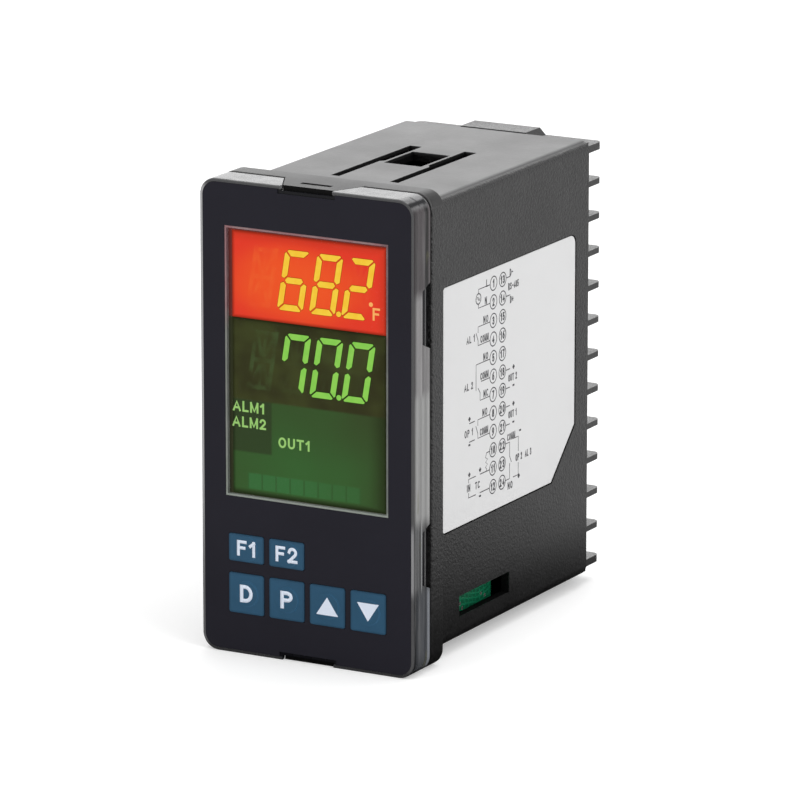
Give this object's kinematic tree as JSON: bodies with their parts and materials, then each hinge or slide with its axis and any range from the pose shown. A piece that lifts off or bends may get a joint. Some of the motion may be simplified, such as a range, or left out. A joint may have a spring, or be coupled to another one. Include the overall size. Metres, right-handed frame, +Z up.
{
  "type": "pid temperature controller",
  "caption": "Upright panel-mounted temperature controller with a clear-framed face, two-colour numeric display, blue push keys, a long ventilated case and rear screw terminals.",
  "frame": {"origin": "centre of the panel cut-out, on the panel's front surface, where the flange's back face seats", "axes": "+X right as seen from the front, +Y backwards through the panel, +Z up"},
  "size_m": [0.048, 0.0845, 0.096],
  "materials": {
    "case_plastic": "fine spark-eroded texture",
    "clear_plastic": "clear moulding over a dark inside",
    "face_film": "printed film, satin",
    "window_clear": "polished, lightly smoked",
    "label_film": "printed polyester, satin",
    "key_blue": "embossed film key, satin",
    "seal_rubber": "smooth",
    "lcd_glass": "black-mask liquid crystal glass",
    "field_red": "lit colour field",
    "field_green": "lit colour field",
    "digit_yellow": "lit segments",
    "digit_green": "lit segments",
    "guide_milky": "milky light guide",
    "led_white": "light-emitting diode",
    "carrier_black": "plain moulding",
    "board_green": "solder mask",
    "switch_black": "plain",
    "header_black": "plain",
    "relay_blue": "moulded can",
    "chip_black": "moulded package",
    "ferrite": "sintered",
    "winding_tape": "polyester tape over copper",
    "capacitor_sleeve": "sleeved can",
    "varistor_blue": "dipped disc",
    "fuse_glass": "ceramic tube fuse",
    "terminal_plastic": "fine texture",
    "terminal_metal": "nickel plated"
  },
  "bodies": {
    "controller": {"case": "case_plastic", "bezel_frame": "clear_plastic", "face_overlay": "face_film", "display_window": "window_clear", "side_label": "label_film", "bezel_seal": "seal_rubber", "lcd_panel": "lcd_glass", "upper_field": "field_red", "lower_field": "field_green", "upper_digits": "digit_yellow", "lower_digits": "digit_green", "backlight_guide": "guide_milky", "backlight_leds": "led_white", "display_carrier": "carrier_black", "display_board": "board_green", "tact_switches": "switch_black", "main_board": "board_green", "power_board": "board_green", "board_headers": "header_black", "output_relays": "relay_blue", "microcontroller": "chip_black", "optocouplers": "chip_black", "transformer_core": "ferrite", "transformer_winding": "winding_tape", "bulk_capacitor": "capacitor_sleeve", "filter_capacitors": "capacitor_sleeve", "varistor": "varistor_blue", "fuse": "fuse_glass", "terminal_block": "terminal_plastic", "terminal_plates": "terminal_metal", "terminal_screws": "terminal_metal"},
    "button_f1": {"key_f1": "key_blue"},
    "button_f2": {"key_f2": "key_blue"},
    "button_d": {"key_d": "key_blue"},
    "button_p": {"key_p": "key_blue"},
    "button_up": {"key_up": "key_blue"},
    "button_down": {"key_down": "key_blue"}
  },
  "joints": [
    {"name": "press_f1", "type": "slide", "parent": "controller", "child": "button_f1", "axis": [0, 1, 0], "range_m": [0, 0.0004], "stiffness_N_per_m": 2000, "springref_m": -0.0005},
    {"name": "press_f2", "type": "slide", "parent": "controller", "child": "button_f2", "axis": [0, 1, 0], "range_m": [0, 0.0004], "stiffness_N_per_m": 2000, "springref_m": -0.0005},
    {"name": "press_d", "type": "slide", "parent": "controller", "child": "button_d", "axis": [0, 1, 0], "range_m": [0, 0.0004], "stiffness_N_per_m": 2000, "springref_m": -0.0005},
    {"name": "press_p", "type": "slide", "parent": "controller", "child": "button_p", "axis": [0, 1, 0], "range_m": [0, 0.0004], "stiffness_N_per_m": 2000, "springref_m": -0.0005},
    {"name": "press_up", "type": "slide", "parent": "controller", "child": "button_up", "axis": [0, 1, 0], "range_m": [0, 0.0004], "stiffness_N_per_m": 2000, "springref_m": -0.0005},
    {"name": "press_down", "type": "slide", "parent": "controller", "child": "button_down", "axis": [0, 1, 0], "range_m": [0, 0.0004], "stiffness_N_per_m": 2000, "springref_m": -0.0005}
  ]
}
